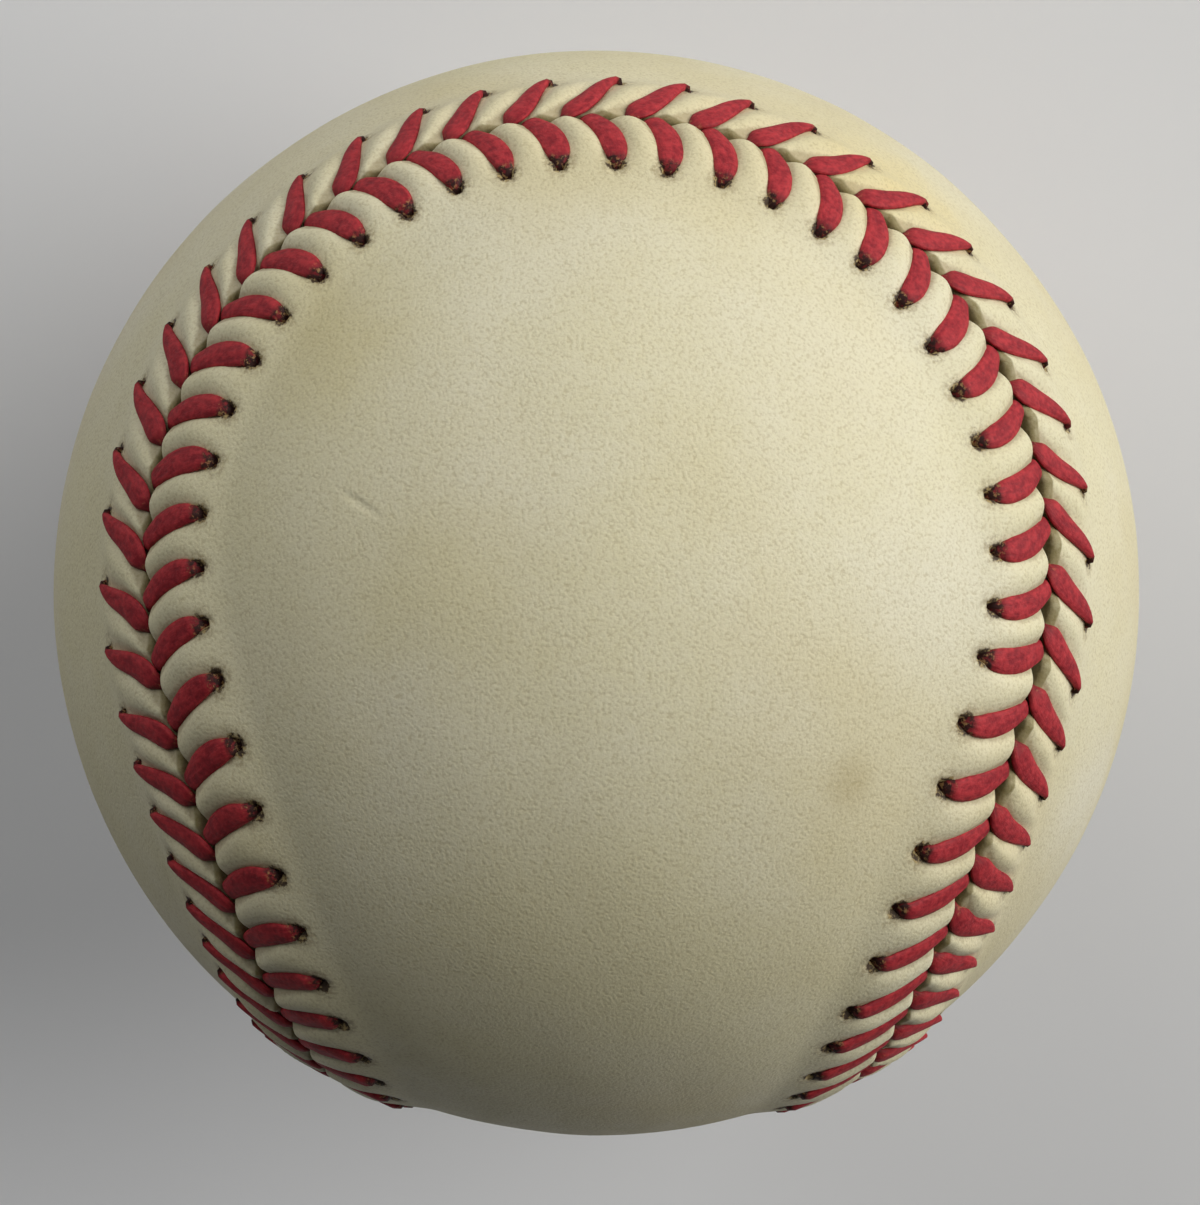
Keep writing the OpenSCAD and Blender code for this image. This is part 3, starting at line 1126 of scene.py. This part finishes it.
    def mark_wear_and_shade(self, piece: bpy.types.Object) -> None:
        """Writes how far each point lies from a hole and a thread, and how deep in the slit, for the
        leather's dirt and painted shade.
        """
        points = read_points(piece.data)
        radius = np.linalg.norm(points, axis=1)
        place, across = self.seam.nearest(unit(points))
        across = np.abs(across)
        near = across < self.band_reach
        place = place[near]
        across = across[near]
        wear_and_shade = WEAR_AND_SHADE[self.side]
        arm, hole = self.relief.from_arms(place, across, self.side.value)
        face_r = self.seam.ball_r + self.relief.height(place, across, self.side.value)
        low = smooth_step((face_r - radius[near] - wear_and_shade.edge_top) / self.edge_fall)
        tip = smooth_step((across - self.tip_start) / self.tip_length)
        reach = wear_and_shade.edge_spread * self.relief.slit_half(place) + wear_and_shade.edge_reach
        worn_and_shaded = {name: np.full(len(points), self.far) for name in ("hole", "arm")}
        worn_and_shaded["slit"] = np.zeros(len(points))
        worn_and_shaded["hole"][near] = (hole + wear_and_shade.hole_shrink) / MM
        worn_and_shaded["arm"][near] = (arm + wear_and_shade.tip_shrink * tip) / MM
        # Slit value: painted shade, more below the face and nearer the slit, mixed with the cut edge's
        # olive.
        worn_and_shaded["slit"][near] = low * smooth_step((reach - across) / self.edge_fade)
        write_values(piece.data, worn_and_shaded)

    def build(self, name: str, finish: Material) -> bpy.types.Object:
        """Makes the panel and gives it its finish.

        Args:
            name: The piece's name.
            finish: Its leather.

        Returns:
            The piece.
        """
        band = formed_grid(name, self.band_points(), {})
        face = self.face(self.face_levels, self.seam.ball_r, self.face_margin)
        back = self.face(self.back_levels, self.seam.ball_r - self.leather, self.back_margin)
        select_only(face, back, band)
        bpy.ops.object.join()
        self.zip_edges(band)
        write_points(band.data, self.sink_holes(read_points(band.data)))
        self.mark_wear_and_shade(band)
        cover_with(band.data, finish)
        select_only(band)
        bpy.ops.object.shade_smooth_by_angle(angle=self.sharp_angle)
        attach(band, BODY)
        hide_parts(self.cad_node)
        log.info("%s: %d points, %d faces", name, len(band.data.vertices), len(band.data.polygons))
        return band


@dataclass(frozen=True)
class ThreadStrand:
    """One of the two threads that sew the panels, each from its own needle."""

    first_side: Side
    seam: Seam
    stitches: Stitches
    relief: Relief
    cad_node: str
    width: float = 1.72 * MM
    thickness: float = 0.52 * MM
    sides: int = 14
    leather: float = 1.27 * MM
    under_lift: float = 0.31 * MM
    over_shares: tuple[float, ...] = (
        0.0, 0.015, 0.04, 0.08, 0.14, 0.21, 0.29, 0.38, 0.47, 0.56,
        0.65, 0.73, 0.8, 0.855, 0.9, 0.93, 0.955, 0.978, 1.0,
    )
    under_shares: tuple[float, ...] = (0.14, 0.32, 0.55, 0.8, 0.97)
    under_width: float = 0.6
    look: float = 0.01
    fat_spread: float = 0.07
    rise: float = 0.2 * MM
    drop_start: float = 0.6
    drop_reach: float = 0.25
    hole_power: float = 1.5
    dive_start: float = 0.9
    dive_power: float = 1.6
    # How strong the thread's dirt and painted shade are at its hole and at its tail.
    hole_soil_and_shade: float = 1.3
    tail_soil_and_shade: float = 0.6
    tail_soil_and_shade_start: float = 0.86
    roundness: float = 0.9
    girth_share: float = 0.8

    def over_width(self, share: Array, side: int) -> Array:
        """Shape of an arm seen from above, as a share of its greatest width."""
        places, shares = zip(*ARMS[Side(side)].width_shares)
        return np.interp(share, places, shares)

    def over_lift(self, share: Array, side: int) -> Array:
        """Height of the thread's middle above the leather along an arm."""
        arm = ARMS[Side(side)]
        rise = self.rise - arm.drop * smooth_step((share - self.drop_start) / self.drop_reach)
        hole = arm.hole_depth * (1 - smooth_step(share / arm.hole_reach)) ** self.hole_power
        into_dive = smooth_step((share - self.dive_start) / (1 - self.dive_start))
        return rise - hole - arm.dive_depth * into_dive**self.dive_power

    def over_soil_and_shade(self, share: Array, side: int) -> Array:
        """Dirt and painted shade on the thread along an arm, most at its hole and some at its tail,
        where it sinks into the leather.
        """
        at_hole = self.hole_soil_and_shade * (1 - smooth_step(share / ARMS[Side(side)].soil_and_shade_reach))
        past_start = (share - self.tail_soil_and_shade_start) / (1 - self.tail_soil_and_shade_start)
        return np.clip(at_hole + self.tail_soil_and_shade * smooth_step(past_start), 0, 1)

    def route(self) -> tuple[Array, Array, Array, Array]:
        """Lays out the rings of the whole strand.

        Returns:
            Points, directions ahead in plan, half widths, and dirt and painted shade of the rings.
        """
        over, under = np.array(self.over_shares), np.array(self.under_shares)
        places, acrosses, radii, widths, soils_and_shades, ahead = [], [], [], [], [], []
        bottom_r = self.seam.ball_r - self.leather + self.under_lift
        chance = np.random.default_rng(SEED + self.first_side.value)
        for number in range(self.seam.stitches):
            side = self.first_side.value * (1 if number % 2 == 0 else -1)
            hole = number + self.seam.hole_place
            which = np.full(len(over), number)
            plan, near, back = (
                self.stitches.arm(which, side, np.clip(over + step, 0, 1))
                for step in (0, self.look, -self.look)
            )
            place = hole + plan[:, 0] / self.seam.pitch
            height = self.relief.height(place, np.abs(plan[:, 1]), side)
            fat = 1 + self.fat_spread * chance.uniform(-1, 1)
            places.append(place)
            acrosses.append(side * plan[:, 1])
            radii.append(self.seam.ball_r + height + self.over_lift(over, side))
            widths.append(fat * self.over_width(over, side))
            soils_and_shades.append(self.over_soil_and_shade(over, side))
            start = self.seam.point(hole + back[:, 0] / self.seam.pitch, side * back[:, 1], 1.0)
            end = self.seam.point(hole + near[:, 0] / self.seam.pitch, side * near[:, 1], 1.0)
            ahead.append(end - start)
            last = np.array([plan[-1, 0], side * plan[-1, 1]])
            target = self.stitches.arm(np.array([number + 1]), -side, np.zeros(1))[0]
            goal = np.array([self.seam.pitch + target[0], -side * target[1]])
            run = last + under[:, None] * (goal - last)
            places.append(hole + run[:, 0] / self.seam.pitch)
            acrosses.append(run[:, 1])
            radii.append(np.full(len(under), bottom_r))
            widths.append(np.full(len(under), self.under_width))
            soils_and_shades.append(np.ones(len(under)))
            tip = self.seam.point(hole + last[0] / self.seam.pitch, last[1], 1.0)
            far = self.seam.point(hole + goal[0] / self.seam.pitch, goal[1], 1.0)
            ahead.append(np.tile(far - tip, (len(under), 1)))
        place, across, radius, width, soil_and_shade = (
            np.concatenate(values) for values in (places, acrosses, radii, widths, soils_and_shades)
        )
        points = self.seam.point(place, across, radius)
        return points, unit(np.concatenate(ahead)), width * self.width / 2, soil_and_shade

    def build(self, name: str, finish: Material) -> bpy.types.Object:
        """Sweeps the thread's flat section along its route.

        Args:
            name: The piece's name.
            finish: Its waxed thread.

        Returns:
            The piece.
        """
        points, ahead, half_width, soil_and_shade = self.route()
        outward = unit(points)
        flat = unit(np.cross(outward, ahead))
        turns = np.sign((flat[1:] * flat[:-1]).sum(axis=1))
        flat[1:] *= np.cumprod(np.where(turns == 0, 1, turns))[:, None]
        route = unit(np.gradient(points, axis=0))
        flat = unit(flat - (flat * route).sum(axis=1, keepdims=True) * route)
        thick = np.cross(route, flat)
        angle = np.linspace(0, 2 * math.pi, self.sides + 1)
        angle[-1] = 0
        wide = np.sign(np.cos(angle)) * np.abs(np.cos(angle)) ** self.roundness
        high = np.sin(angle) * self.thickness / 2
        section = (
            points[None]
            + wide[:, None, None] * half_width[None, :, None] * flat[None]
            + high[:, None, None] * thick[None]
        )
        strand = formed_grid(name, section, {"grime_and_sunk_shade": np.tile(soil_and_shade, (self.sides + 1, 1))})
        length = np.concatenate([[0], np.cumsum(np.linalg.norm(np.diff(points, axis=0), axis=1))])
        uv = strand.data.uv_layers[0]
        uv.name = "thread"
        flat_uv = np.empty(len(uv.uv) * 2)
        uv.uv.foreach_get("vector", flat_uv)
        flat_uv = flat_uv.reshape(-1, 2)
        flat_uv[:, 0] = np.interp(flat_uv[:, 0] * (len(points) - 1), np.arange(len(points)), length)
        flat_uv[:, 1] *= 2 * (self.width + self.thickness) * self.girth_share
        uv.uv.foreach_set("vector", flat_uv.astype(np.float32).ravel())
        bpy.ops.object.mode_set(mode="EDIT")
        bpy.ops.mesh.select_all(action="DESELECT")
        bpy.ops.mesh.select_non_manifold()
        bpy.ops.mesh.edge_face_add()
        bpy.ops.mesh.select_all(action="SELECT")
        bpy.ops.mesh.normals_make_consistent(inside=False)
        bpy.ops.object.mode_set(mode="OBJECT")
        bpy.ops.object.shade_smooth()
        cover_with(strand.data, finish)
        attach(strand, BODY)
        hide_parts(self.cad_node)
        log.info("%s: %.3f m long, %d faces", name, length[-1], len(strand.data.polygons))
        return strand


@dataclass(frozen=True)
class Camera:
    """The photograph's viewpoint: near the ball and almost straight above it."""

    distance: float
    to_right: tuple = (0.9999, 0.0103, -0.0018)
    to_top: tuple = (-0.0105, 0.9761, -0.2169)
    to_back: tuple = (-0.0004, 0.2169, 0.9762)
    focal_pixels: float = 2944.0
    sensor: float = 36.0
    frame_width: float = 1200.0
    frame_height: float = 1205.0
    ball_x: float = 597.0
    ball_y: float = 593.5
    def axes(self) -> tuple[Array, ...]:
        """Returns the directions to the camera's right, top and back."""
        return tuple(np.array(v) for v in (self.to_right, self.to_top, self.to_back))
    def place(self) -> None:
        """Adds the camera so that the ball lies where the photograph has it."""
        data = bpy.data.cameras.new("camera")
        data.sensor_width = self.sensor
        data.lens = self.focal_pixels * self.sensor / max(self.frame_width, self.frame_height)
        data.clip_start, data.clip_end = 0.01, 20.0
        camera = bpy.data.objects.new("camera", data)
        bpy.context.scene.collection.objects.link(camera)
        right, top, back = self.axes()
        per_pixel = self.distance / self.focal_pixels
        aim = right * (self.frame_width / 2 - self.ball_x) - top * (self.frame_height / 2 - self.ball_y)
        matrix = Matrix.Identity(4)
        for column, axis in enumerate((right, top, back, back * self.distance + aim * per_pixel)):
            for row in range(3):
                matrix[row][column] = axis[row]
        camera.matrix_world = matrix
        bpy.context.scene.camera = camera


@dataclass(frozen=True)
class Lamp:
    """A soft round lamp that faces the ball.

    Toward gives its direction by shares of the camera's right, top and back,
    and level is the brightness on a white surface that faces it.
    """

    name: str
    toward: tuple[float, float, float]
    distance: float
    size: float
    level: float
    colour: tuple[float, float, float]

    def place(self, axes: tuple[Array, ...]) -> None:
        """Adds the lamp."""
        data = bpy.data.lights.new(self.name, "AREA")
        data.shape = "DISK"
        data.size = self.size
        data.energy = self.level * math.pi**2 * self.distance**2
        data.color = self.colour
        lamp = bpy.data.objects.new(self.name, data)
        bpy.context.scene.collection.objects.link(lamp)
        direction = unit(sum(share * axis for share, axis in zip(self.toward, axes)))
        lamp.location = direction * self.distance
        lamp.rotation_euler = lamp.location.to_track_quat("Z", "Y").to_euler()


@dataclass(frozen=True)
class Studio:
    """A plain pale floor and soft light from the photograph's upper right."""

    floor_z: float
    camera: Camera
    floor_size: float = 6.0
    floor_colour: tuple = linear(218, 218, 219)
    floor_roughness: float = 0.9
    glow_colour: tuple = (0.99, 1.0, 1.0, 1.0)
    floor_glow: float = 0.1
    backdrop_glow: float = 0.56
    lit_reach: float = 0.3
    far_reach: float = 1.6
    world_colour: tuple = (0.95, 0.97, 1.0, 1.0)
    world_light: float = 0.035
    lamps: tuple[Lamp, ...] = (
        Lamp("key", (0.77, 0.29, 0.57), distance=0.9, size=0.9, level=1.05, colour=(1.0, 0.99, 0.965)),
        Lamp("fill", (-0.5, 0.6, 0.62), distance=1.0, size=0.9, level=0.33, colour=(0.98, 0.99, 1.0)),
    )

    def floor(self) -> None:
        """Adds the floor, which the camera sees brighter than its light far from the ball."""
        deselect_all()
        bpy.ops.mesh.primitive_plane_add(size=self.floor_size, location=(0, 0, self.floor_z))
        floor = bpy.context.object
        floor.name = "floor"
        material = bpy.data.materials.new("floor")
        material.use_nodes = True
        tree = Tree(material.node_tree)
        shader = material.node_tree.nodes["Principled BSDF"]
        shader.inputs["Base Color"].default_value = self.floor_colour
        shader.inputs["Roughness"].default_value = self.floor_roughness
        shader.inputs["Emission Color"].default_value = self.glow_colour
        away = tree.add("ShaderNodeVectorMath", {0: tree.coords()}, operation="LENGTH").outputs["Value"]
        glow = tree.span(away, self.lit_reach, self.far_reach, self.floor_glow, self.backdrop_glow)
        seen = tree.add("ShaderNodeLightPath").outputs["Is Camera Ray"]
        tree.put(tree.math("MULTIPLY", seen, glow), shader.inputs["Emission Strength"])
        floor.data.materials.append(material)

    def light(self) -> None:
        """Adds the lamps and the world's light."""
        for lamp in self.lamps:
            lamp.place(self.camera.axes())
        world = bpy.data.worlds.new("studio")
        bpy.context.scene.world = world
        world.use_nodes = True
        background = world.node_tree.nodes["Background"]
        background.inputs["Color"].default_value = self.world_colour
        tree = Tree(world.node_tree)
        seen = tree.add("ShaderNodeLightPath").outputs["Is Camera Ray"]
        strength = tree.span(seen, 0.0, 1.0, self.world_light, self.backdrop_glow)
        tree.put(strength, background.inputs["Strength"])

    def build(self) -> None:
        """Adds the floor, the lights and the camera."""
        self.floor()
        self.light()
        self.camera.place()
        bpy.context.scene.view_settings.view_transform = "Standard"


@dataclass(frozen=True)
class Core:
    """The layers under the cover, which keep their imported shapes."""

    effects: SharedEffects

    def dress(self) -> None:
        """Gives each layer its finish."""
        black = CoatFinish("black_rubber", self.effects).build()
        reds = (linear(162, 54, 44), linear(186, 84, 70))
        red = CoatFinish("red_rubber", self.effects, reds).build()
        whites = (linear(232, 228, 216), linear(180, 174, 160))
        bleached = (linear(240, 238, 228), linear(196, 192, 178))
        adhesive = CoatFinish(
            "adhesive", self.effects, (linear(150, 132, 88), linear(104, 88, 56)),
            scales=(420.0, 2600.0), speck_share=0.6, gloss=(0.4, 0.7), specular=0.3,
            rough_scale=900.0, rough_detail=3.0, rough_height=0.05 * MM,
        )
        finishes = {
            "cork_core": CorkFinish("cork", self.effects).build(),
            "inner_rubber_upper": black,
            "inner_rubber_lower": black,
            "rubber_gasket": red,
            "outer_rubber_shell": red,
            "first_wool_winding": YarnFinish("grey_wool_thick", self.effects, 150.0).build(),
            "second_wool_winding": YarnFinish("white_wool", self.effects, 200.0, *whites).build(),
            "third_wool_winding": YarnFinish("grey_wool_fine", self.effects, 260.0).build(),
            "finishing_yarn": YarnFinish("finishing_yarn", self.effects, 380.0, *bleached).build(),
            "adhesive_coat": adhesive.build(),
        }
        for node, finish in finishes.items():
            cover_with(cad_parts[node].data, finish)
            log.info("%s: dressed", node)


def main() -> None:
    """Builds the ball and its studio."""
    low, high = CAD_BOX
    ball_r = (high.z - low.z) / 2
    seam = Seam(ball_r)
    stitches = Stitches(seam)
    relief = Relief(seam, stitches)
    effects = SharedEffects.build()
    camera = Camera(distance=CAMERA_AWAY * ball_r)
    leather = LeatherFinish("cover_leather", effects, ball_r).build()
    thread = ThreadFinish("waxed_thread", effects).build()
    for side, letter in ((Side.PANEL_A, "a"), (Side.PANEL_B, "b")):
        panel = CoverPanel(side, seam, relief, f"cover_panel_{letter}")
        panel.build(f"leather_panel_{letter}", leather)
    for number, side in enumerate((Side.PANEL_A, Side.PANEL_B), 1):
        strand = ThreadStrand(side, seam, stitches, relief, f"thread_strand_{number}")
        strand.build(f"sewing_thread_{number}", thread)
    Core(effects).dress()
    Studio(low.z, camera).build()


if __name__ == "__main__":
    main()
